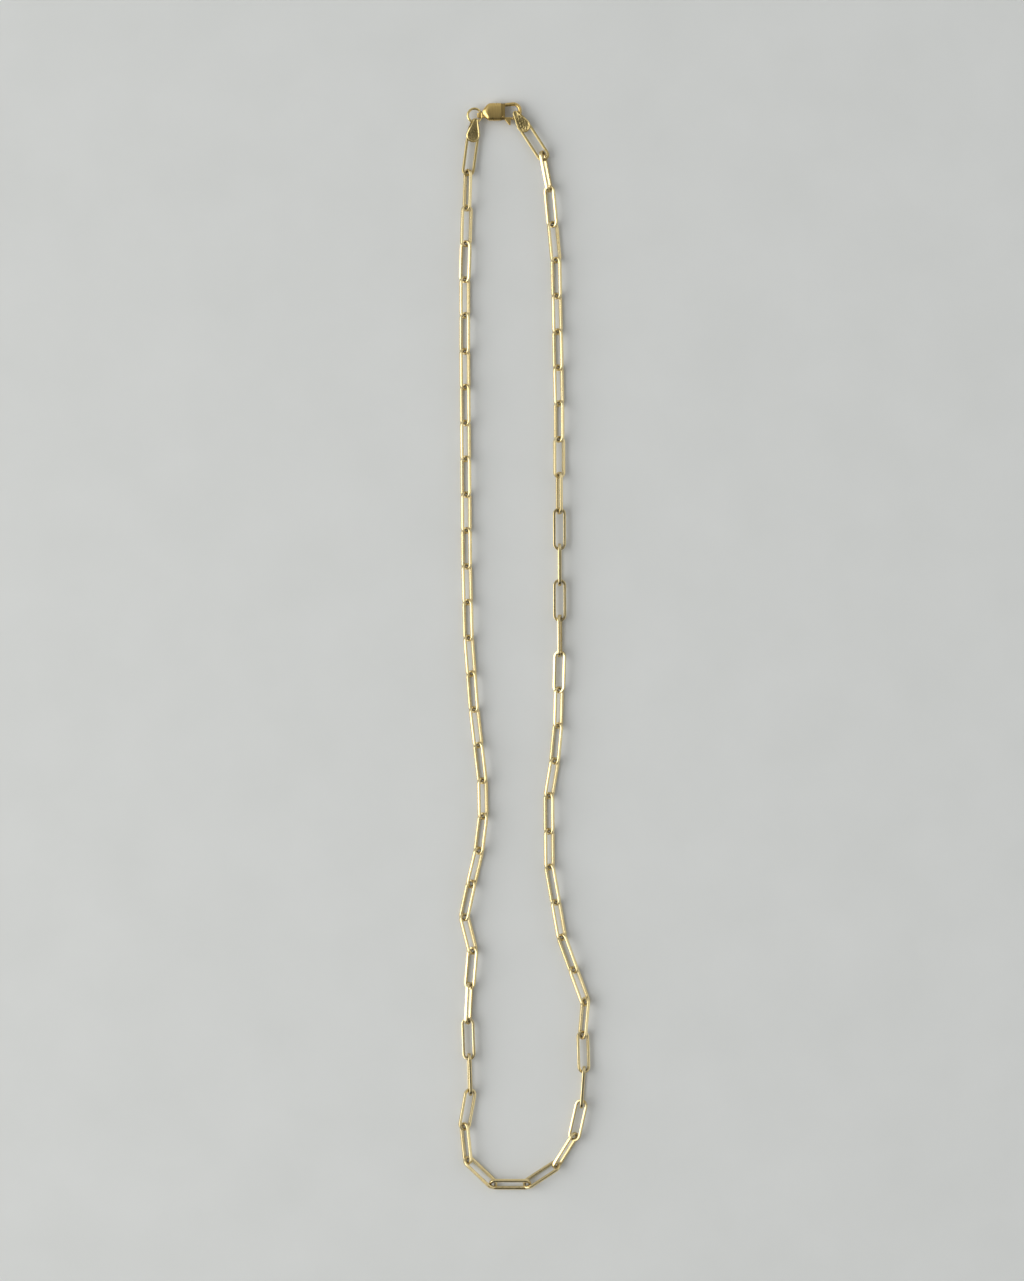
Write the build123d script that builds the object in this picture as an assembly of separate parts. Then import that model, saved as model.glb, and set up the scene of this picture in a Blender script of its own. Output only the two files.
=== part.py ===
from build123d import *
from math import acos, atan2, cos, degrees, radians, sin
from typing import NamedTuple
import os

# A fine paperclip chain necklace, closed by its clasp and lying flat, in millimetres.
# X points right, Y points up the page towards the clasp, and Z is up from the surface.
# Each piece is built about its own origin and then placed. The last step moves the origin
# to the middle of the whole footprint, on the surface.

# Plain links: long closed ovals of square wire.
LINK_LENGTH = 8.55
LINK_WIDTH = 2.6
WIRE_WIDTH = 0.52
WIRE_DEPTH = 0.6
WIRE_EDGE = 0.1
PITCH = 7.16
LINKS_IN_LEFT_STRAND = 30

# A leaning link rests on its lower long side. A flatter one hangs between its neighbours.
HANG_HEIGHT = 1.15

# The end links, one beyond each end of the chain. Headings point from the chain to the tag.
FIRST_JOINT = (-11.35, 94.96)
LEFT_END_HEADING = 172.5
LEFT_END_ROLL = 14.0
LEFT_END_SLACK = 0.05
LEFT_END_HEIGHT = 1.08
RIGHT_END_HEADING = 213.0
RIGHT_END_ROLL = -10.0
RIGHT_END_SLACK = 0.65
RIGHT_END_HEIGHT = 1.07

# Teardrop tags, each soldered over an end link, rising to a long eye at the narrow end.
TAG_THICKNESS = 0.5
TAG_RISE = 0.14
TAG_WIDE_RADIUS = 1.36
TAG_WIDE_AT = 3.95
TAG_RIM = 0.3
TAG_RECESS = 0.16
TAG_RECESS_NARROW_AT = 5.05
TAG_RECESS_NARROW_RADIUS = 0.42
TAG_NARROW_RADIUS = 0.55
TAG_SLOPE_FROM = 4.5
EYE_FAR_AT = 6.54
EYE_LENGTH = 0.62
EYE_OUTER_RADIUS = 0.88
EYE_INNER_RADIUS = 0.66

# Jump ring between the left tag and the clasp. Its right side lies a little lower.
RING_RADIUS = 1.35
RING_WIRE_RADIUS = 0.25
RING_TILT = 10.0
RING_HEIGHT = 1.1
RING_PULL = 0.1

# Lobster clasp, drawn about the middle of its tail eye with the hook towards +X.
TAIL_ON_RING = (1.3, 0.01)
CLASP_HEIGHT = 0.95
TAIL_OUTER_RADIUS = 0.8
TAIL_INNER_RADIUS = 0.5
TAIL_WIDTH = 1.0
BODY_THICKNESS = 1.9
BODY_EDGE = 0.72
BODY_START = 0.25
BODY_END = 4.05
BODY_TOP = 2.44
BODY_BOTTOM = -1.05
NOSE_LOW = 0.3
NOSE_HIGH = 1.0
NOSE_ROUNDING = 0.75
SHOULDER_AT = 1.5
SHOULDER_ROUNDING = 1.0
HIP_AT = 1.35
HIP_ROUNDING = 1.2
CLASP_NECK_THICKNESS = 1.5
CLASP_NECK_END = 4.8
CLASP_NECK_INSET = 0.06
CLASP_NECK_EDGE = 0.6
HOOK_START = (4.1, 2.02)
HOOK_CENTRE = (6.48, 0.98)
HOOK_RADIUS = 1.28
HOOK_DROP = 0.25
HOOK_WIRE_RADIUS = 0.36
HOOK_END_ANGLE = -105.0

# The lever turns on a pin through the neck: a hub, a gate across the mouth and a thumb tab.
PIVOT = (4.3, -0.36)
PIN_RADIUS = 0.2
PIN_INSET = 0.03
PIN_GAP = 0.02
LEVER_BORE_RADIUS = 0.25
LEVER_HUB_RADIUS = 0.46
LEVER_THICKNESS = 0.7
LEVER_GAP = 0.06
SLOT_TOP = 0.2
GATE_REACH = 1.95
GATE_LOW = -0.86
GATE_HIGH = -0.38
GATE_GAP = 0.07
TAB_ROOT = (4.75, 5.93)
TAB_TIP = (5.6, 5.93)
TAB_TIP_LOW = -1.95
TAB_ROUNDING = 0.12


class Stretch(NamedTuple):
    """Links in a row that lie the same way."""

    links: int
    heading: float  # degrees from straight down the page, turning towards +X
    roll: float  # degrees about the link's length; inside a stretch every next link leans the other way
    slack: float  # how far each link is pushed into the next


# From the joint below the left tag, down the left strand, round the bottom and up the right one.
STRETCHES = [
    Stretch(1, -1.7, 58, 0.1),
    Stretch(2, -1.7, -36, 0.0),
    Stretch(2, 0.0, -45, 0.0),
    Stretch(6, 0.5, -45, 0.0),
    Stretch(2, 1.5, -45, 0.0),
    Stretch(2, 4.4, -45, 0.0),
    Stretch(2, 6.7, -45, 0.0),
    Stretch(1, 1.0, -45, 0.0),
    Stretch(1, -7.0, 45, 0.3),
    Stretch(1, -13.0, -45, 0.3),
    Stretch(1, -12.0, 45, 0.5),
    Stretch(1, 14.0, -45, 0.1),
    Stretch(1, -5.0, 38, 0.3),
    Stretch(1, -3.0, -66, 0.0),
    Stretch(1, 2.0, 8, 0.05),
    Stretch(1, 2.0, 82, 0.05),
    Stretch(1, -10.0, -24, 0.2),
    Stretch(1, 6.0, 52, 0.35),
    Stretch(1, 46.5, -45, 0.25),
    Stretch(1, 90.0, 40, 0.3),
    Stretch(1, 123.2, -45, 0.3),
    Stretch(1, 148.0, 57, 0.2),
    Stretch(1, 167.5, -18, 0.75),
    Stretch(1, 176.0, 90, 0.2),
    Stretch(1, 182.0, 18, 0.0),
    Stretch(1, 175.0, -57, 0.8),
    Stretch(2, 200.0, 45, 0.3),
    Stretch(2, 190.0, 45, 0.0),
    Stretch(2, 180.5, 45, 0.0),
    Stretch(1, 170.5, 45, 0.25),
    Stretch(1, 174.5, -45, 0.0),
    Stretch(1, 178.5, 50, 0.0),
    Stretch(1, 178.5, -25, 0.0),
    Stretch(1, 180.2, 79, 0.0),
    Stretch(1, 180.2, 5, 0.1),
    Stretch(1, 180.2, -87, 0.0),
    Stretch(1, 180.2, 7, 0.0),
    Stretch(1, 180.2, -70, 0.0),
    Stretch(1, 180.2, 30, 0.0),
    Stretch(1, 180.2, -48, 0.0),
    Stretch(4, 181.2, 45, 0.0),
    Stretch(2, 185.5, 38, 0.0),
    Stretch(1, 190.8, 66, 0.2),
]


def travel(heading):
    """Unit vector of a heading, in the plane of the surface."""
    return Vector(sin(radians(heading)), -cos(radians(heading)), 0)


def link_plane(centre, heading, roll):
    """Plane of a link: X along the link, Z out of its face, the left side raised by the roll."""
    along = travel(heading)
    left = Vector(-along.Y, along.X, 0)
    face = Vector(0, 0, 1) * cos(radians(roll)) - left * sin(radians(roll))
    return Plane(origin=centre, x_dir=along, z_dir=face)


def link_height(roll):
    """Height of a link's middle above the surface."""
    rise = abs(sin(radians(roll)))
    reach = abs(cos(radians(roll)))
    leaning = LINK_WIDTH / 2 * rise + WIRE_DEPTH / 2 * reach - WIRE_EDGE * min(rise, reach)
    return max(HANG_HEIGHT, leaning)


def plain_link():
    """One link about its own middle, its length along X."""
    outline = SlotOverall(LINK_LENGTH, LINK_WIDTH)
    hole = SlotOverall(LINK_LENGTH - 2 * WIRE_WIDTH, LINK_WIDTH - 2 * WIRE_WIDTH)
    ring = extrude(outline - hole, WIRE_DEPTH / 2, both=True)
    faces = ring.faces().sort_by(Axis.Z)
    return chamfer(faces[0].edges() + faces[-1].edges(), WIRE_EDGE)


def chain_places():
    """Planes of all plain links in order, and the joint where the chain ends."""
    places = []
    joint = Vector(*FIRST_JOINT)
    for stretch in STRETCHES:
        for index in range(stretch.links):
            roll = stretch.roll if index % 2 == 0 else -stretch.roll
            step = travel(stretch.heading) * (PITCH - stretch.slack)
            middle = joint + step / 2
            centre = Vector(middle.X, middle.Y, link_height(roll))
            places.append(link_plane(centre, stretch.heading, roll))
            joint += step
    return places, joint


def prism(outline, thickness):
    """Flat outline given a thickness, half above and half below."""
    return extrude(outline, thickness / 2, both=True)


def end_faces_edges(solid):
    """Edges of a prism's bottom and top faces."""
    faces = solid.faces().sort_by(Axis.Z)
    return faces[0].edges() + faces[-1].edges()


def teardrop_tag():
    """Tag in its end link's frame: a rimmed teardrop plate that rises to an eye at its narrow end."""
    wide_end = Pos(TAG_WIDE_AT, 0) * Circle(TAG_WIDE_RADIUS)
    narrow_end_at = EYE_FAR_AT + EYE_OUTER_RADIUS - TAG_NARROW_RADIUS
    narrow_end = Pos(narrow_end_at, 0) * Circle(TAG_NARROW_RADIUS)
    plan = make_hull(wide_end.edges() + narrow_end.edges())

    eye_middle = Pos(EYE_FAR_AT - EYE_LENGTH / 2, 0)
    eye = eye_middle * SlotCenterToCenter(EYE_LENGTH, 2 * EYE_OUTER_RADIUS)
    plate_start = TAG_WIDE_AT - TAG_WIDE_RADIUS
    plate_length = TAG_SLOPE_FROM - plate_start
    plate = Pos(plate_start + plate_length / 2, TAG_RISE) * Rectangle(plate_length, TAG_THICKNESS)
    plate_end = Pos(TAG_SLOPE_FROM - TAG_THICKNESS / 2, TAG_RISE) * Rectangle(TAG_THICKNESS, TAG_THICKNESS)
    side_view = plate + make_hull(plate_end.edges() + eye.edges())
    across = Plane.XZ * prism(side_view, 2 * TAG_WIDE_RADIUS)

    recess_wide = Pos(TAG_WIDE_AT, 0) * Circle(TAG_WIDE_RADIUS - TAG_RIM)
    recess_narrow = Pos(TAG_RECESS_NARROW_AT, 0) * Circle(TAG_RECESS_NARROW_RADIUS)
    recess = extrude(make_hull(recess_wide.edges() + recess_narrow.edges()), EYE_OUTER_RADIUS)
    recess -= Pos(0, 0, -TAG_RECESS) * across

    hole = eye_middle * SlotCenterToCenter(EYE_LENGTH, 2 * EYE_INNER_RADIUS)
    tag = (across & prism(plan, 2 * EYE_OUTER_RADIUS)) - recess
    return tag - Plane.XZ * prism(hole, 2 * TAG_WIDE_RADIUS)


def end_link_plane(joint, heading, roll, slack, height):
    """Plane of an end link whose plain end hangs in the chain at the joint, X towards its tag."""
    middle = joint + travel(heading) * (PITCH / 2 - slack)
    return link_plane(Vector(middle.X, middle.Y, height), heading, roll)


def jump_ring():
    """Closed ring of round wire about its own middle."""
    return Torus(RING_RADIUS, RING_WIRE_RADIUS)


def clasp_main_body():
    """Rounded block that holds the spring, narrowing to a nose at the tail."""
    corners = {
        (BODY_START, NOSE_LOW): NOSE_ROUNDING,
        (BODY_START, NOSE_HIGH): NOSE_ROUNDING,
        (SHOULDER_AT, BODY_TOP): SHOULDER_ROUNDING,
        (BODY_END, BODY_TOP): 0,
        (BODY_END, BODY_BOTTOM): 0,
        (HIP_AT, BODY_BOTTOM): HIP_ROUNDING,
    }
    outline = Polygon(*corners, align=None)
    for corner, rounding in corners.items():
        if rounding:
            nearest = outline.vertices().sort_by_distance((*corner, 0))[0]
            outline = fillet(nearest, rounding)
    block = prism(outline, BODY_THICKNESS)
    edges = [edge for edge in end_faces_edges(block) if edge.center().X < BODY_END - BODY_EDGE / 4]
    return fillet(edges, BODY_EDGE)


def clasp_neck():
    """Thinner block between the body and the mouth, slotted for the lever and drilled for its pin."""
    low = BODY_BOTTOM + CLASP_NECK_INSET
    high = BODY_TOP - CLASP_NECK_INSET
    start = BODY_END - BODY_EDGE
    outline = Pos((start + CLASP_NECK_END) / 2, (low + high) / 2) * Rectangle(
        CLASP_NECK_END - start, high - low
    )
    block = prism(outline, CLASP_NECK_THICKNESS)
    return fillet(block.edges().filter_by(Axis.X), CLASP_NECK_EDGE)


def lever_slot():
    """Space inside the neck where the lever turns, open to the mouth and to the thumb's side."""
    left = PIVOT[0] - LEVER_HUB_RADIUS - 2 * LEVER_GAP
    right = CLASP_NECK_END + LEVER_GAP
    low = BODY_BOTTOM - LEVER_GAP
    outline = Pos((left + right) / 2, (low + SLOT_TOP) / 2) * Rectangle(right - left, SLOT_TOP - low)
    return prism(outline, LEVER_THICKNESS + 2 * LEVER_GAP)


def clasp_hook():
    """Round wire from the neck along the back and round the end, stopping at the gate."""
    centre = Vector(*HOOK_CENTRE)
    low_centre = centre - Vector(0, HOOK_DROP)
    from_centre = Vector(*HOOK_START) - centre
    lean = degrees(acos(HOOK_RADIUS / from_centre.length))
    first_angle = degrees(atan2(from_centre.Y, from_centre.X)) - lean
    upper_bend = CenterArc(centre, HOOK_RADIUS, first_angle, -first_angle)
    run = Line(HOOK_START, upper_bend @ 0)
    drop = Line(upper_bend @ 1, (upper_bend @ 1) - Vector(0, HOOK_DROP))
    lower_bend = CenterArc(low_centre, HOOK_RADIUS, 0, HOOK_END_ANGLE)
    section = Plane(origin=HOOK_START, z_dir=run % 0) * Circle(HOOK_WIRE_RADIUS)
    wire = sweep(section, path=Wire([*run.edges(), *upper_bend.edges(), *drop.edges(), *lower_bend.edges()]))
    gate_sweep = Pos(*PIVOT) * Cylinder(GATE_REACH + GATE_GAP, BODY_THICKNESS)
    return wire - gate_sweep


def clasp_body():
    """Clasp without its moving lever: tail eye, body, neck and hook in one casting."""
    upright = Plane(origin=(0, 0, 0), x_dir=(1, 0, 0), z_dir=(0, 1, 0))
    tail = upright * prism(Circle(TAIL_OUTER_RADIUS), TAIL_WIDTH)
    tail_hole = upright * prism(Circle(TAIL_INNER_RADIUS), 2 * TAIL_WIDTH)
    pin_hole = Pos(*PIVOT) * Cylinder(PIN_RADIUS + PIN_GAP, 2 * CLASP_NECK_THICKNESS)
    casting = clasp_main_body() + clasp_neck() + clasp_hook() + tail
    return casting - tail_hole - lever_slot() - pin_hole


def clasp_lever():
    """Spring-loaded lever: hub, gate and thumb tab."""
    pivot_x, pivot_y = PIVOT
    reach = Pos(pivot_x, pivot_y) * Circle(GATE_REACH)
    arm = Pos(pivot_x + GATE_REACH / 2, (GATE_LOW + GATE_HIGH) / 2) * Rectangle(
        GATE_REACH, GATE_HIGH - GATE_LOW
    )
    gate_middle = (GATE_LOW + GATE_HIGH) / 2
    tab = Polygon(
        (TAB_ROOT[0], gate_middle),
        (TAB_ROOT[0], GATE_LOW),
        (TAB_TIP[0], TAB_TIP_LOW),
        (TAB_TIP[1], TAB_TIP_LOW),
        (TAB_ROOT[1], gate_middle),
        align=None,
    )
    tab = fillet(tab.vertices().sort_by(Axis.Y)[:2], TAB_ROUNDING)
    hub = Pos(pivot_x, pivot_y) * Circle(LEVER_HUB_RADIUS)
    bore = Pos(pivot_x, pivot_y) * Circle(LEVER_BORE_RADIUS)
    outline = hub + (arm & reach) + tab - bore
    return prism(outline, LEVER_THICKNESS)


def clasp_pin():
    """Pin through the neck that the lever turns on."""
    return Pos(*PIVOT) * Cylinder(PIN_RADIUS, CLASP_NECK_THICKNESS - 2 * PIN_INSET)


def necklace():
    """Every node's solids, placed."""
    places, last_joint = chain_places()
    link = plain_link()
    links = [place * link for place in places]
    end_link = link + teardrop_tag()
    left_end = end_link_plane(
        Vector(*FIRST_JOINT), LEFT_END_HEADING, LEFT_END_ROLL, LEFT_END_SLACK, LEFT_END_HEIGHT
    )
    right_end = end_link_plane(
        last_joint, RIGHT_END_HEADING, RIGHT_END_ROLL, RIGHT_END_SLACK, RIGHT_END_HEIGHT
    )
    left_eye = left_end.from_local_coords(Vector(EYE_FAR_AT, 0, 0))
    ring_centre = Vector(left_eye.X, left_eye.Y + RING_RADIUS + RING_PULL, RING_HEIGHT)
    ring_axis = Vector(sin(radians(RING_TILT)), 0, cos(radians(RING_TILT)))
    clasp = Pos(ring_centre.X + TAIL_ON_RING[0], ring_centre.Y + TAIL_ON_RING[1], CLASP_HEIGHT)
    return {
        "chain_left": links[:LINKS_IN_LEFT_STRAND],
        "chain_right": links[LINKS_IN_LEFT_STRAND:],
        "end_link_left": [left_end * end_link],
        "end_link_right": [right_end * end_link],
        "jump_ring": [Plane(origin=ring_centre, z_dir=ring_axis) * jump_ring()],
        "clasp_body": [clasp * clasp_body()],
        "clasp_lever": [clasp * clasp_lever()],
        "clasp_pin": [clasp * clasp_pin()],
    }


def main():
    nodes = necklace()
    footprint = Compound(children=[Compound(solids) for solids in nodes.values()]).bounding_box()
    middle = footprint.center()
    to_origin = Pos(-middle.X, -middle.Y, -footprint.min.Z)
    os.makedirs("parts", exist_ok=True)
    for name, solids in nodes.items():
        placed = [to_origin * solid for solid in solids]
        shape = placed[0] if len(placed) == 1 else Compound(children=placed)
        export_step(shape, f"parts/{name}.step")
    print("size", footprint.size, "moved by", to_origin.position)


main()
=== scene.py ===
from math import cos, exp, pi, radians, sin, sqrt

import bmesh
import bpy
import numpy as np
from mathutils import Matrix, Vector
from mathutils import noise as bumps


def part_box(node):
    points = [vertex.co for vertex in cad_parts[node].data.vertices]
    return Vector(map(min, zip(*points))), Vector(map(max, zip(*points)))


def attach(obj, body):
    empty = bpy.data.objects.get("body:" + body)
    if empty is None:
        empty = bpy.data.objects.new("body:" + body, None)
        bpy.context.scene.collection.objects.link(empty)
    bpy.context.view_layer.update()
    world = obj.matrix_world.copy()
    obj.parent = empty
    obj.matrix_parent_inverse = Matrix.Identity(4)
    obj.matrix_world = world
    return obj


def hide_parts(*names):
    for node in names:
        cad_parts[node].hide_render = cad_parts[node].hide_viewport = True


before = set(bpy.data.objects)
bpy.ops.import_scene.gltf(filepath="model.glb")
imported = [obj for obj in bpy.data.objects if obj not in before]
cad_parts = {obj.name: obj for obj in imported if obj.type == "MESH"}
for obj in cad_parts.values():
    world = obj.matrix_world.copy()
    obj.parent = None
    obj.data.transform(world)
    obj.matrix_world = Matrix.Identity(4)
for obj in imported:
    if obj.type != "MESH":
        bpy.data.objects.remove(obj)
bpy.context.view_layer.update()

# A fine paperclip chain necklace on pale paper, seen from straight above. Lengths are in
# millimetres until a mesh is written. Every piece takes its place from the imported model.

MM = 0.001

# Links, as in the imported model, with their wire's edges softened.
LINK_LENGTH = 8.55
LINK_WIDTH = 2.6
WIRE_WIDTH = 0.52
WIRE_DEPTH = 0.6
WIRE_ROUNDING = 0.11
BEND_STEPS = 14
STRAIGHT_STEPS = 8
CORNER_STEPS = 3

# Jump ring, with a small bead of solder over its joint.
RING_RADIUS = 1.35
RING_WIRE_RADIUS = 0.25
RING_STEPS = 96
RING_SIDES = 20
SEAM_ANGLE = 2.2
SEAM_SPREAD = 0.12
SEAM_BULGE = 0.07

# Cast and soldered pieces are remeshed in small cells, and their edges are smoothed.
CAST_CELL = 0.042
CAST_SMOOTHING = 10
CAST_SMOOTHING_SHARE = 0.5

# Painted shade in hollows: how far each point lies below its smoothed surroundings.
HOLLOW_STEPS = 60
HOLLOW_DEPTH = 0.07

# Painted shade on a wire: all round a link's ends, while their inside is fully dark, and on the
# inner sides of its straight runs.
JOINT_SHADE_ALL_ROUND = 0.15
INNER_SIDE_SHADE = 0.3

# End links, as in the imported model, and the teardrop tags over them: two circles round a plate
# that rises from the wide end to the eye.
END_LINKS = {
    "end_link_left": {"heading": 172.5, "roll": 14.0},
    "end_link_right": {"heading": 213.0, "roll": -10.0},
}
TAG_WIDE_RADIUS = 1.36
TAG_WIDE_AT = 3.95
TAG_NARROW_RADIUS = 0.55
TAG_NARROW_AT = 6.87
TAG_LOW_TOP = 0.39
TAG_HIGH_TOP = 0.88
TAG_RISE = (3.4, 6.3)
TAG_RIM = 0.2
TAG_RIM_WALL = 0.16
TAG_RECESS = 0.13
TAG_EDGE = 0.14
TAG_DIMPLE = 0.06
TAG_DIMPLE_SIZE = 0.3
# Painted shade: how dark the tag's sunk plate and the rest of the end link are made.
TAG_PLATE_SHADE = 0.6
END_LINK_SHADE = 0.3

# Upper skin of a tag: above this height at the wide end, rising towards the eye, and past the
# eye's near end wherever the surface looks up.
SKIN_FROM = 0.1
SKIN_SLOPE = 0.25
SKIN_SLOPE_AT = 4.6
EYE_NEAR_AT = 5.3
LOOKS_UP = 0.35

# Crown of the clasp's body across its length, the fall of its faces to the nose, and its darker
# neck. Lengths run from the middle of the tail's eye.
TAIL_RADIUS = 0.8
BODY_HALF_HEIGHT = 1.745
CROWN_FROM = 0.4
CROWN = 0.3
NOSE_FROM = 1.7
NOSE_DROP = 0.42
NECK_FROM = 4.0
NECK_TO = 4.85
# How much darker the neck's colour is made.
NECK_DARKENING = 0.6
MOST_FLATTENED = 0.9

# Golds. Colours are the metal's lightest and darkest tone. Scales are in cells for each metre, and
# the pattern is drawn out along the axes where its stretch is small.
GOLDS = {
    "polished_gold": {
        "light": (0.92, 0.77, 0.44),
        "dark": (0.86, 0.69, 0.35),
        "tone_scale": 300,
        "roughness": 0.2,
        "spread": 0.02,
        "grain": 0.05,
        "stretch": (1, 1, 1),
    },
    "aged_gold": {
        "light": (0.87, 0.7, 0.33),
        "dark": (0.77, 0.6, 0.25),
        "tone_scale": 1200,
        "roughness": 0.22,
        "spread": 0.03,
        "grain": 0.05,
        "stretch": (1, 1, 1),
    },
    "satin_gold": {
        "light": (0.8, 0.58, 0.22),
        "dark": (0.66, 0.46, 0.16),
        "tone_scale": 5000,
        "roughness": 0.3,
        "spread": 0.06,
        "grain": 0.15,
        "stretch": (1, 0.12, 0.12),
    },
}
TONE_DETAIL = 4.0
NOISE_RANGE = (0.3, 0.7)
# Painted shade: the dark colour mixed into the gold where the mask says, varied in patches, with
# roughness added.
SHADE_COLOR = (0.055, 0.03, 0.007)
SHADE_PATCH_SCALE = 2600.0
SHADE_PATCH_DETAIL = 5.0
SHADE_PATCH_RANGE = (0.25, 0.6)
LEAST_SHADE = 0.8
SHADE_ROUGHNESS = 0.3
POLISH_SCALE = 1500.0
POLISH_DETAIL = 6.0
SCRATCH_SCALE = 9000.0
SCRATCH_DETAIL = 4.0
SCRATCH_DEPTH = 0.00001

PAPER_DARK = (0.7, 0.706, 0.68)
PAPER_LIGHT = (0.725, 0.73, 0.705)
PAPER_ROUGHNESS = 0.85
PAPER_SHEEN = 0.2
MOTTLE_SCALE = 60.0
MOTTLE_DETAIL = 5.0

# The photograph's frame: the height that the picture spans, and where its middle is.
FRAME_HEIGHT = 256.2
FRAME_MIDDLE = (-2.458, 1.1)
CAMERA_HEIGHT = 900.0
SENSOR = 36.0
FARTHEST_SEEN = 10.0

FLOOR_SIZE = 6000.0
FLOOR_DROP = 0.02

KEY_PLACE = (-440, -60, 280)
KEY_SIZE = 380
KEY_POWER = 0.55
KEY_COLOR = (1.0, 0.98, 0.95)
SKY_COLOR = (0.97, 0.985, 1.0)

# Surroundings: an even ground level, and soft lobes of light or shade. A lobe fades in from
# the first to the second cosine of the angle to its direction.
SKY_LEVEL = 0.28
SKY_LOBES = [
    {"towards": (-0.85, -0.15, 0.4), "fade_in": 0.68, "full": 0.9, "level": 2.3},
    {"towards": (0.95, 0.1, 0.25), "fade_in": 0.5, "full": 0.9, "level": 0.5},
    {"towards": (0.0, 0.9, 0.45), "fade_in": 0.4, "full": 1.0, "level": 0.3},
    {"towards": (0.3, -0.2, 0.94), "fade_in": 0.8, "full": 0.98, "level": -0.15},
    {"towards": (0.1, -0.98, 0.15), "fade_in": 0.55, "full": 0.95, "level": -0.27},
]


def loose_parts(mesh):
    """Vertices and triangles of each separate solid, whose vertices may be split along edges."""
    points = np.array([v.co for v in mesh.vertices], float) / MM
    places, index = np.unique(np.round(points, 4), axis=0, return_inverse=True)
    index = index.reshape(-1)
    mesh.calc_loop_triangles()
    triangles = index[np.array([t.vertices for t in mesh.loop_triangles])]
    owner = np.arange(len(places))
    while True:
        lowest = owner[triangles].min(axis=1)
        before = owner.copy()
        for corner in range(3):
            np.minimum.at(owner, triangles[:, corner], lowest)
        owner = owner[owner]
        if (owner == before).all():
            break
    parts = []
    for name in np.unique(owner[triangles[:, 0]]):
        parts.append((places, triangles[owner[triangles[:, 0]] == name]))
    return parts


def solid_axes(points, triangles):
    """Centre of mass of a closed solid, and its principal axes, the longest spread first."""
    a, b, c = (points[triangles[:, corner]] for corner in range(3))
    middle = points[triangles].mean(axis=(0, 1))
    a, b, c = a - middle, b - middle, c - middle
    volume = np.einsum("ij,ij->i", a, np.cross(b, c)) / 6
    total = volume.sum()
    centre = ((a + b + c) / 4 * volume[:, None]).sum(axis=0) / total
    corner_sum = a + b + c
    spread = sum(np.einsum("i,ij,ik->jk", volume, p, p) for p in (a, b, c))
    spread += np.einsum("i,ij,ik->jk", volume, corner_sum, corner_sum)
    spread = spread / 20 / total - np.outer(centre, centre)
    axes = np.linalg.eigh(spread)[1]
    return centre + middle, axes[:, ::-1].T


def place_from_axes(centre, axes):
    """Matrix from a piece's own frame to its place, with X up the page and Z up where they can be."""
    along = Vector(axes[0])
    if along.y < 0:
        along = -along
    face = Vector(axes[2])
    if face.z < 0:
        face = -face
    across = face.cross(along)
    rows = Matrix((along, across, face)).transposed().to_4x4()
    return Matrix.Translation(Vector(centre)) @ rows


def rounded_section(width, depth, rounding):
    """Outline of a wire's section with rounded corners, as (outward, up) pairs."""
    pairs = []
    for quarter in range(4):
        for step in range(CORNER_STEPS + 1):
            angle = pi / 2 * (quarter + step / CORNER_STEPS)
            side = 1 if quarter in (0, 3) else -1
            top = 1 if quarter in (0, 1) else -1
            outward = side * (width / 2 - rounding) + rounding * cos(angle)
            up = top * (depth / 2 - rounding) + rounding * sin(angle)
            pairs.append((outward, up))
    return pairs


def link_path():
    """Middle line of a link's wire: (point, outward direction, share of the joint's painted shade).
    """
    reach = (LINK_LENGTH - LINK_WIDTH) / 2
    radius = (LINK_WIDTH - WIRE_WIDTH) / 2
    path = []
    for end in (1, -1):
        for step in range(BEND_STEPS + 1):
            angle = pi * (step / BEND_STEPS - end / 2)
            outward = Vector((cos(angle), sin(angle), 0))
            path.append((Vector((end * reach, 0, 0)) + outward * radius, outward, abs(cos(angle))))
        for step in range(1, STRAIGHT_STEPS):
            share = 1 - 2 * step / STRAIGHT_STEPS
            outward = Vector((0, end, 0))
            path.append((Vector((end * reach * share, 0, 0)) + outward * radius, outward, 0.0))
    return path


def sweep_wire(bm, painted_shade, path, sections, place):
    """Closed wire along a closed path, with a section of (outward, up) pairs for each point."""
    rings = []
    for (point, outward, dark), section in zip(path, sections):
        ring = []
        for out, up in section:
            vertex = bm.verts.new(place @ (point + outward * out + Vector((0, 0, up))) * MM)
            # Painted shade: the link's joints darkened all round and fully on their inside, and the
            # inner sides of the wires darkened.
            inner = max(0.0, -2 * out / WIRE_WIDTH)
            in_joint = JOINT_SHADE_ALL_ROUND + (1 - JOINT_SHADE_ALL_ROUND) * inner
            vertex[painted_shade] = max(dark * in_joint, INNER_SIDE_SHADE * inner)
            ring.append(vertex)
        rings.append(ring)
    sides = len(sections[0])
    for index, ring in enumerate(rings):
        following = rings[(index + 1) % len(rings)]
        for side in range(sides):
            after = (side + 1) % sides
            bm.faces.new((ring[side], following[side], following[after], ring[after]))


def finish_piece(mesh, name, body, node, material):
    """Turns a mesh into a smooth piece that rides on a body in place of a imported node."""
    mesh.name = name
    mesh.shade_smooth()
    mesh.materials.clear()
    mesh.materials.append(material)
    piece = bpy.data.objects.new(name, mesh)
    bpy.context.scene.collection.objects.link(piece)
    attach(piece, body)
    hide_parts(node)
    return piece


def wire_mesh(bm):
    """Mesh of the wires in a bmesh, with their faces turned outwards."""
    bmesh.ops.recalc_face_normals(bm, faces=bm.faces)
    mesh = bpy.data.meshes.new("wire")
    bm.to_mesh(mesh)
    bm.free()
    return mesh


def chain(node, name, material):
    """All links of one packed chain node."""
    bm = bmesh.new()
    painted_shade = bm.verts.layers.float.new("painted_shade")
    path = link_path()
    sections = [rounded_section(WIRE_WIDTH, WIRE_DEPTH, WIRE_ROUNDING)] * len(path)
    for points, triangles in loose_parts(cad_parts[node].data):
        place = place_from_axes(*solid_axes(points, triangles))
        sweep_wire(bm, painted_shade, path, sections, place)
    return finish_piece(wire_mesh(bm), name, "necklace", node, material)


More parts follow.
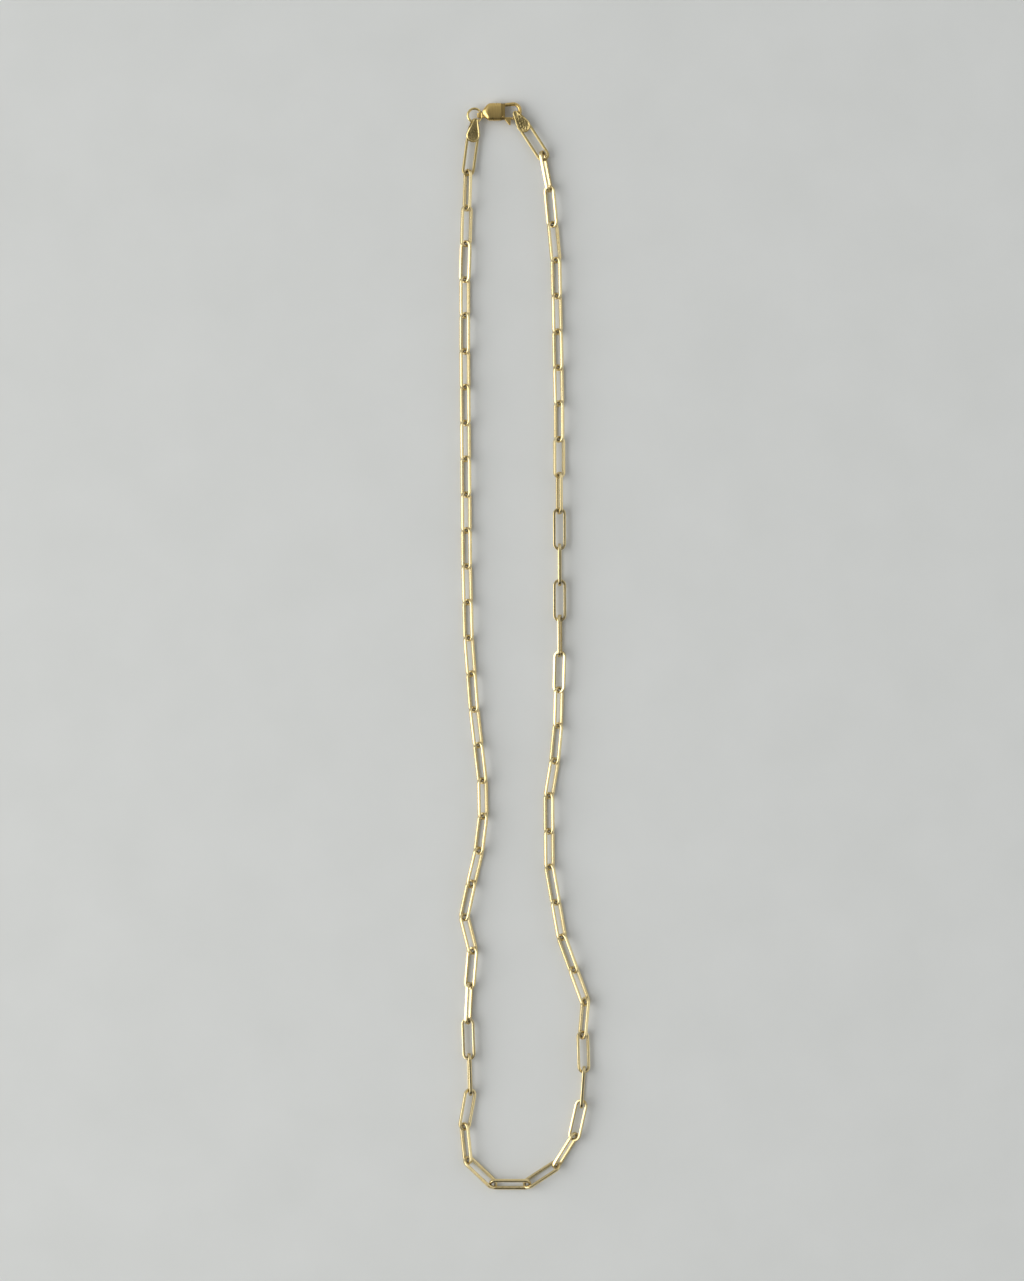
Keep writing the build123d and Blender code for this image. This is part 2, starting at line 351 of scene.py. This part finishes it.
def jump_ring(node, name, material):
    """Round ring of round wire, a little thicker where it is soldered."""
    bm = bmesh.new()
    painted_shade = bm.verts.layers.float.new("painted_shade")
    path = []
    sections = []
    for step in range(RING_STEPS):
        angle = 2 * pi * step / RING_STEPS
        outward = Vector((cos(angle), sin(angle), 0))
        path.append((outward * RING_RADIUS, outward, 0.0))
        bead = exp(-(((angle - SEAM_ANGLE) / SEAM_SPREAD) ** 2))
        radius = RING_WIRE_RADIUS * (1 + SEAM_BULGE * bead)
        turns = [2 * pi * side / RING_SIDES for side in range(RING_SIDES)]
        sections.append([(radius * cos(turn), radius * sin(turn)) for turn in turns])
    points, triangles = loose_parts(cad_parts[node].data)[0]
    sweep_wire(bm, painted_shade, path, sections, place_from_axes(*solid_axes(points, triangles)))
    return finish_piece(wire_mesh(bm), name, "necklace", node, material)


def vertex_array(mesh, name):
    """Positions or normals of all vertices, a row for each."""
    values = np.empty(len(mesh.vertices) * 3)
    mesh.vertices.foreach_get(name, values)
    return values.reshape(-1, 3)


def smoothstep(value):
    """Smooth rise from 0 to 1."""
    value = np.clip(value, 0, 1)
    return value * value * (3 - 2 * value)


def hollows(mesh):
    """How deep each vertex lies in a hollow, from 0 to 1."""
    count = len(mesh.vertices)
    points = vertex_array(mesh, "co")
    ends = np.empty(len(mesh.edges) * 2, int)
    mesh.edges.foreach_get("vertices", ends)
    first, second = ends.reshape(-1, 2).T
    neighbours = np.bincount(ends, minlength=count)
    smoothed = points.copy()
    for _ in range(HOLLOW_STEPS):
        total = np.empty_like(smoothed)
        for axis in range(3):
            total[:, axis] = np.bincount(first, smoothed[second, axis], count)
            total[:, axis] += np.bincount(second, smoothed[first, axis], count)
        smoothed = (smoothed + total / neighbours[:, None]) / 2
    depth = ((smoothed - points) * vertex_array(mesh, "normal")).sum(axis=1)
    return np.clip(depth / HOLLOW_DEPTH, 0, 1)


def end_link_place(node):
    """Matrix from an end link's own frame, X towards its tag, to its place."""
    heading = radians(END_LINKS[node]["heading"])
    roll = radians(END_LINKS[node]["roll"])
    along = Vector((sin(heading), -cos(heading), 0))
    left = Vector((-along.y, along.x, 0))
    face = Vector((0, 0, cos(roll))) - left * sin(roll)
    rows = Matrix((along, face.cross(along), face))
    local = vertex_array(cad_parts[node].data, "co") / MM @ np.array(rows).T
    low = local.min(axis=0)
    high = local.max(axis=0)
    origin = Vector((low[0] + LINK_LENGTH / 2, (low[1] + high[1]) / 2, (low[2] + high[2]) / 2))
    turn = rows.transposed()
    return Matrix.Translation(turn @ origin) @ turn.to_4x4()


def inside_teardrop(x, y):
    """Distance from the tag's outline to points inside it."""
    length = TAG_NARROW_AT - TAG_WIDE_AT
    lean = (TAG_WIDE_RADIUS - TAG_NARROW_RADIUS) / length
    upright = sqrt(1 - lean * lean)
    across = np.abs(y)
    along = x - TAG_WIDE_AT
    side = along * upright - across * lean
    to_wide = np.hypot(across, along) - TAG_WIDE_RADIUS
    to_narrow = np.hypot(across, along - length) - TAG_NARROW_RADIUS
    to_side = across * upright + along * lean - TAG_WIDE_RADIUS
    return -np.where(side < 0, to_wide, np.where(side > upright * length, to_narrow, to_side))


def shape_tag(node, points, normals):
    """Moves a tag's upper skin to a rimmed plate that rises to the eye, and paints shade on its
    plate.
    """
    place = end_link_place(node)
    turn = np.array(place.to_3x3())
    local = (points - np.array(place.translation)) @ turn
    looks_up = (normals @ turn)[:, 2] > LOOKS_UP
    x, y, z = local.T
    inside = inside_teardrop(x, y)
    above = z > SKIN_FROM + SKIN_SLOPE * np.maximum(x - SKIN_SLOPE_AT, 0)
    skin = (inside > 0) & (z > 0) & np.where(x < EYE_NEAR_AT, above, looks_up)
    rise_from, rise_to = TAG_RISE
    rise = smoothstep((x - rise_from) / (rise_to - rise_from))
    top = TAG_LOW_TOP + (TAG_HIGH_TOP - TAG_LOW_TOP) * rise
    sunk = smoothstep((inside - TAG_RIM) / TAG_RIM_WALL)
    edge = TAG_EDGE * (1 - smoothstep(inside / TAG_EDGE))
    spots = Vector((1 / TAG_DIMPLE_SIZE, 1 / TAG_DIMPLE_SIZE, 0))
    dimples = np.zeros(len(points))
    for index in np.flatnonzero(skin & (sunk > 0)):
        dimples[index] = bumps.noise(Vector((x[index], y[index], 0)) * spots)
    target = top - edge - sunk * (TAG_RECESS + TAG_DIMPLE * dimples)
    local[:, 2] = np.where(skin, target, z)
    # Painted shade: the sunk plate darkened most, the rest of the end link a little.
    painted_shade = np.where(skin, sunk * TAG_PLATE_SHADE, END_LINK_SHADE)
    return local @ turn.T + np.array(place.translation), painted_shade


def crown_body(node, points, normals):
    """Rounds the clasp's faces across its length and down to the nose, and darkens its neck."""
    low, high = (Vector(corner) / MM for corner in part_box(node))
    middle = (low.z + high.z) / 2
    across = (points[:, 1] - low.y - BODY_HALF_HEIGHT) / BODY_HALF_HEIGHT
    along = points[:, 0] - low.x - TAIL_RADIUS
    height = points[:, 2] - middle
    proud = np.maximum(np.abs(height) - CROWN_FROM, 0)
    full = high.z - middle - CROWN_FROM
    crown = CROWN * np.minimum(across**2, 1)
    fall = NOSE_DROP / full * np.clip((NOSE_FROM - along) / NOSE_FROM, 0, 1) ** 2
    shaped = points.copy()
    shaped[:, 2] -= np.sign(height) * proud * np.minimum(crown + fall, MOST_FLATTENED)
    neck = (along > NECK_FROM) & (along < NECK_TO)
    return shaped, np.where(neck, NECK_DARKENING, 0)


def cast_piece(node, name, body, material, reshape=None):
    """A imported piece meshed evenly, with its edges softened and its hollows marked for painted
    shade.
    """
    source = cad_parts[node].data.copy()
    source.transform(Matrix.Scale(1 / MM, 4))
    block = bpy.data.objects.new("source", source)
    bpy.context.scene.collection.objects.link(block)
    remesh = block.modifiers.new("remesh", "REMESH")
    remesh.mode = "VOXEL"
    remesh.voxel_size = CAST_CELL
    smooth = block.modifiers.new("smooth", "SMOOTH")
    smooth.factor = CAST_SMOOTHING_SHARE
    smooth.iterations = CAST_SMOOTHING
    evaluated = block.evaluated_get(bpy.context.evaluated_depsgraph_get())
    mesh = bpy.data.meshes.new_from_object(evaluated)
    bpy.data.objects.remove(block)
    dark = np.zeros(len(mesh.vertices))
    if reshape:
        points, dark = reshape(node, vertex_array(mesh, "co"), vertex_array(mesh, "normal"))
        mesh.vertices.foreach_set("co", points.ravel())
        mesh.update()
    # Painted shade in the hollows, together with the darker marks from the reshaping.
    painted_shade = mesh.attributes.new("painted_shade", "FLOAT", "POINT")
    painted_shade.data.foreach_set("value", np.maximum(hollows(mesh), dark))
    mesh.transform(Matrix.Scale(MM, 4))
    return finish_piece(mesh, name, body, node, material)


def new_material(name):
    """New material, with its nodes and links."""
    material = bpy.data.materials.new(name)
    material.use_nodes = True
    return material, material.node_tree.nodes, material.node_tree.links


def noise(nodes, links, coordinates, scale, detail):
    """Noise over the object, with a scale in cells for each metre."""
    texture = nodes.new("ShaderNodeTexNoise")
    texture.inputs["Scale"].default_value = scale
    texture.inputs["Detail"].default_value = detail
    links.new(coordinates, texture.inputs["Vector"])
    return texture.outputs["Fac"]


def remap(nodes, links, value, low, high, to_low, to_high):
    """A value moved from one range to another, and kept inside it."""
    node = nodes.new("ShaderNodeMapRange")
    node.inputs["From Min"].default_value = low
    node.inputs["From Max"].default_value = high
    node.inputs["To Min"].default_value = to_low
    node.inputs["To Max"].default_value = to_high
    links.new(value, node.inputs["Value"])
    return node.outputs["Result"]


def gold(name):
    """Gold with changes of tone, uneven polish, fine scratches, and painted shade in its hollows and
    joints.
    """
    kind = GOLDS[name]
    material, nodes, links = new_material(name)
    shader = nodes["Principled BSDF"]
    shader.inputs["Metallic"].default_value = 1.0
    object_space = nodes.new("ShaderNodeTexCoord")
    coordinates = nodes.new("ShaderNodeVectorMath")
    coordinates.operation = "MULTIPLY"
    coordinates.inputs[1].default_value = kind["stretch"]
    links.new(object_space.outputs["Object"], coordinates.inputs[0])
    pattern = coordinates.outputs["Vector"]

    tones = noise(nodes, links, pattern, kind["tone_scale"], TONE_DETAIL)
    tone = remap(nodes, links, tones, *NOISE_RANGE, 0.0, 1.0)
    metal = nodes.new("ShaderNodeMix")
    metal.data_type = "RGBA"
    metal.inputs[6].default_value = (*kind["dark"], 1)
    metal.inputs[7].default_value = (*kind["light"], 1)
    links.new(tone, metal.inputs[0])

    # Painted shade: the mask darkens the gold towards the shade colour, in patches.
    shade_mask = nodes.new("ShaderNodeAttribute")
    shade_mask.attribute_name = "painted_shade"
    patches = noise(nodes, links, pattern, SHADE_PATCH_SCALE, SHADE_PATCH_DETAIL)
    shade_share = remap(nodes, links, patches, *SHADE_PATCH_RANGE, LEAST_SHADE, 1.0)
    patchy = nodes.new("ShaderNodeMath")
    patchy.operation = "MULTIPLY"
    links.new(shade_mask.outputs["Fac"], patchy.inputs[0])
    links.new(shade_share, patchy.inputs[1])
    surface = nodes.new("ShaderNodeMix")
    surface.data_type = "RGBA"
    surface.inputs[7].default_value = (*SHADE_COLOR, 1)
    links.new(patchy.outputs["Value"], surface.inputs[0])
    links.new(metal.outputs[2], surface.inputs[6])
    links.new(surface.outputs[2], shader.inputs["Base Color"])

    polish = noise(nodes, links, pattern, POLISH_SCALE, POLISH_DETAIL)
    finest = kind["roughness"] - kind["spread"]
    roughest = kind["roughness"] + kind["spread"]
    dull = nodes.new("ShaderNodeMath")
    dull.operation = "MULTIPLY_ADD"
    dull.inputs[1].default_value = SHADE_ROUGHNESS
    links.new(patchy.outputs["Value"], dull.inputs[0])
    links.new(remap(nodes, links, polish, *NOISE_RANGE, finest, roughest), dull.inputs[2])
    links.new(dull.outputs["Value"], shader.inputs["Roughness"])

    bump = nodes.new("ShaderNodeBump")
    bump.inputs["Strength"].default_value = kind["grain"]
    bump.inputs["Distance"].default_value = SCRATCH_DEPTH
    scratches = noise(nodes, links, pattern, SCRATCH_SCALE, SCRATCH_DETAIL)
    links.new(scratches, bump.inputs["Height"])
    links.new(bump.outputs["Normal"], shader.inputs["Normal"])
    return material


def paper():
    """Matt cool-grey paper with a very faint mottle."""
    material, nodes, links = new_material("paper")
    shader = nodes["Principled BSDF"]
    shader.inputs["Roughness"].default_value = PAPER_ROUGHNESS
    shader.inputs["Specular IOR Level"].default_value = PAPER_SHEEN
    coordinates = nodes.new("ShaderNodeTexCoord")
    mottle = noise(nodes, links, coordinates.outputs["Object"], MOTTLE_SCALE, MOTTLE_DETAIL)
    tone = remap(nodes, links, mottle, *NOISE_RANGE, 0.0, 1.0)
    color = nodes.new("ShaderNodeMix")
    color.data_type = "RGBA"
    color.inputs[6].default_value = (*PAPER_DARK, 1)
    color.inputs[7].default_value = (*PAPER_LIGHT, 1)
    links.new(tone, color.inputs[0])
    links.new(color.outputs[2], shader.inputs["Base Color"])
    return material


def key_light():
    """Square soft light, aimed at the middle of the necklace."""
    data = bpy.data.lights.new("key", "AREA")
    data.shape = "SQUARE"
    data.size = KEY_SIZE * MM
    data.energy = KEY_POWER
    data.color = KEY_COLOR
    light = bpy.data.objects.new("key", data)
    bpy.context.scene.collection.objects.link(light)
    light.location = Vector(KEY_PLACE) * MM
    light.rotation_euler = (-light.location).to_track_quat("-Z", "Y").to_euler()


def sky():
    """Soft surroundings: a bright window to the left, and shade above where the picture is taken."""
    world = bpy.data.worlds.new("surroundings")
    world.use_nodes = True
    bpy.context.scene.world = world
    nodes = world.node_tree.nodes
    links = world.node_tree.links
    coordinates = nodes.new("ShaderNodeTexCoord")
    total = None
    for lobe in SKY_LOBES:
        facing = nodes.new("ShaderNodeVectorMath")
        facing.operation = "DOT_PRODUCT"
        facing.inputs[1].default_value = Vector(lobe["towards"]).normalized()
        links.new(coordinates.outputs["Generated"], facing.inputs[0])
        fade = nodes.new("ShaderNodeMapRange")
        fade.interpolation_type = "SMOOTHSTEP"
        fade.inputs["From Min"].default_value = lobe["fade_in"]
        fade.inputs["From Max"].default_value = lobe["full"]
        fade.inputs["To Max"].default_value = lobe["level"]
        links.new(facing.outputs["Value"], fade.inputs["Value"])
        add = nodes.new("ShaderNodeMath")
        add.inputs[0].default_value = SKY_LEVEL
        if total:
            links.new(total, add.inputs[0])
        links.new(fade.outputs["Result"], add.inputs[1])
        total = add.outputs["Value"]
    background = nodes["Background"]
    background.inputs["Color"].default_value = (*SKY_COLOR, 1)
    links.new(total, background.inputs["Strength"])


def camera():
    """Camera straight above, which sees the frame named at the top."""
    data = bpy.data.cameras.new("camera")
    data.sensor_fit = "VERTICAL"
    data.sensor_height = SENSOR
    data.lens = SENSOR * CAMERA_HEIGHT / FRAME_HEIGHT
    data.clip_end = FARTHEST_SEEN
    view = bpy.data.objects.new("camera", data)
    bpy.context.scene.collection.objects.link(view)
    view.location = Vector((*FRAME_MIDDLE, CAMERA_HEIGHT)) * MM
    bpy.context.scene.camera = view


def floor():
    """Paper that the necklace lies on, a hair below its lowest points."""
    bm = bmesh.new()
    bmesh.ops.create_grid(bm, x_segments=1, y_segments=1, size=FLOOR_SIZE / 2 * MM)
    mesh = bpy.data.meshes.new("floor")
    bm.to_mesh(mesh)
    bm.free()
    mesh.materials.append(paper())
    surface = bpy.data.objects.new("floor", mesh)
    surface.location.z = -FLOOR_DROP * MM
    bpy.context.scene.collection.objects.link(surface)


polished = gold("polished_gold")
aged = gold("aged_gold")
satin = gold("satin_gold")

chain("chain_left", "links_left", polished)
chain("chain_right", "links_right", polished)
jump_ring("jump_ring", "soldered_ring", aged)
cast_piece("end_link_left", "tag_link_left", "necklace", aged, shape_tag)
cast_piece("end_link_right", "tag_link_right", "necklace", aged, shape_tag)
cast_piece("clasp_body", "clasp_casting", "necklace", satin, crown_body)
cast_piece("clasp_pin", "clasp_rivet", "necklace", satin)
cast_piece("clasp_lever", "clasp_thumb_lever", "lever", satin)

camera()
floor()
sky()
key_light()
bpy.context.scene.view_settings.view_transform = "Standard"
